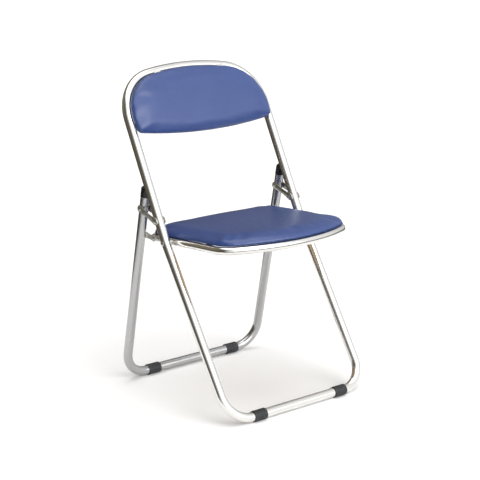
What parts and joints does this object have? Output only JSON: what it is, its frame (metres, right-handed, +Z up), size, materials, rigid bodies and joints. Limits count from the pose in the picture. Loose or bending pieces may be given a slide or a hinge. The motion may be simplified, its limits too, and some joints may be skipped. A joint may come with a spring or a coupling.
{
  "type": "folding chair",
  "caption": "Folding chair of bent metal tube with a padded seat and a padded backrest; the seat swings up and the rear legs fold in against the front frame.",
  "frame": {"origin": "on the floor, under the middle of the chair's box", "axes": "+Z up; -Y towards the sitter's knees, +Y towards the sitter's back; +X towards the sitter's left"},
  "size_m": [0.4444, 0.4555, 0.774],
  "materials": {
    "chrome_tube": "bright chrome plate on steel tube",
    "satin_tube": "softer chrome plate on the rear legs",
    "bright_steel": "zinc-plated steel",
    "blue_vinyl": "blue vinyl with a fine grain and a soft sheen",
    "plywood": "plain plywood board",
    "black_rubber": "matt black rubber",
    "black_plastic": "matt black plastic"
  },
  "bodies": {
    "front_frame": {"front_foot_bar": "chrome_tube", "top_bow": "chrome_tube", "front_upright_left": "chrome_tube", "front_upright_right": "chrome_tube", "front_foot_sleeve_left": "black_rubber", "seat_pivot_rivet_left": "bright_steel", "seat_pivot_bush_left": "bright_steel", "link_front_rivet_left": "bright_steel", "front_foot_sleeve_right": "black_rubber", "seat_pivot_rivet_right": "bright_steel", "seat_pivot_bush_right": "bright_steel", "link_front_rivet_right": "bright_steel", "backrest_cushion": "blue_vinyl", "backrest_board": "plywood", "backrest_tabs": "bright_steel", "backrest_screws": "bright_steel"},
    "seat": {"seat_rail_left": "chrome_tube", "seat_rail_plug_left": "black_plastic", "seat_side_rivet_left": "bright_steel", "seat_rail_right": "chrome_tube", "seat_rail_plug_right": "black_plastic", "seat_side_rivet_right": "bright_steel", "seat_rail_front": "chrome_tube", "seat_cushion": "blue_vinyl", "seat_board": "plywood", "seat_tabs": "bright_steel", "seat_screws": "bright_steel"},
    "rear_legs": {"rear_leg_left": "satin_tube", "rear_leg_cap_left": "black_plastic", "rear_foot_sleeve_left": "black_rubber", "rear_leg_bracket_left": "bright_steel", "rear_pivot_rivet_left": "bright_steel", "rear_leg_right": "satin_tube", "rear_leg_cap_right": "black_plastic", "rear_foot_sleeve_right": "black_rubber", "rear_leg_bracket_right": "bright_steel", "rear_pivot_rivet_right": "bright_steel", "rear_foot_bar": "satin_tube"},
    "link_left": {"link_outer_plate_left": "bright_steel", "link_inner_plate_left": "bright_steel", "link_rear_rivet_left": "bright_steel"},
    "link_right": {"link_outer_plate_right": "bright_steel", "link_inner_plate_right": "bright_steel", "link_rear_rivet_right": "bright_steel"}
  },
  "joints": [
    {"name": "seat_fold", "type": "hinge", "parent": "front_frame", "child": "seat", "pos_m": [0, 0.0225, 0.386], "axis": [1, 0, 0], "range_deg": [-116, 0]},
    {"name": "rear_leg_fold", "type": "hinge", "parent": "seat", "child": "rear_legs", "pos_m": [0, 0.09502, 0.38092], "axis": [1, 0, 0], "range_deg": [0, 76.1]},
    {"name": "link_left_fold", "type": "hinge", "parent": "front_frame", "child": "link_left", "pos_m": [0.207, 0.04768, 0.4349], "axis": [1, 0, 0], "range_deg": [-112.3, 0]},
    {"name": "link_right_fold", "type": "hinge", "parent": "front_frame", "child": "link_right", "pos_m": [-0.207, 0.04768, 0.4349], "axis": [1, 0, 0], "range_deg": [-112.3, 0]}
  ],
  "couplings": [
    {"joint": "rear_leg_fold", "follows": "seat_fold", "ratio": -0.6555},
    {"joint": "link_left_fold", "follows": "seat_fold", "ratio": 0.967},
    {"joint": "link_right_fold", "follows": "seat_fold", "ratio": 0.967}
  ]
}
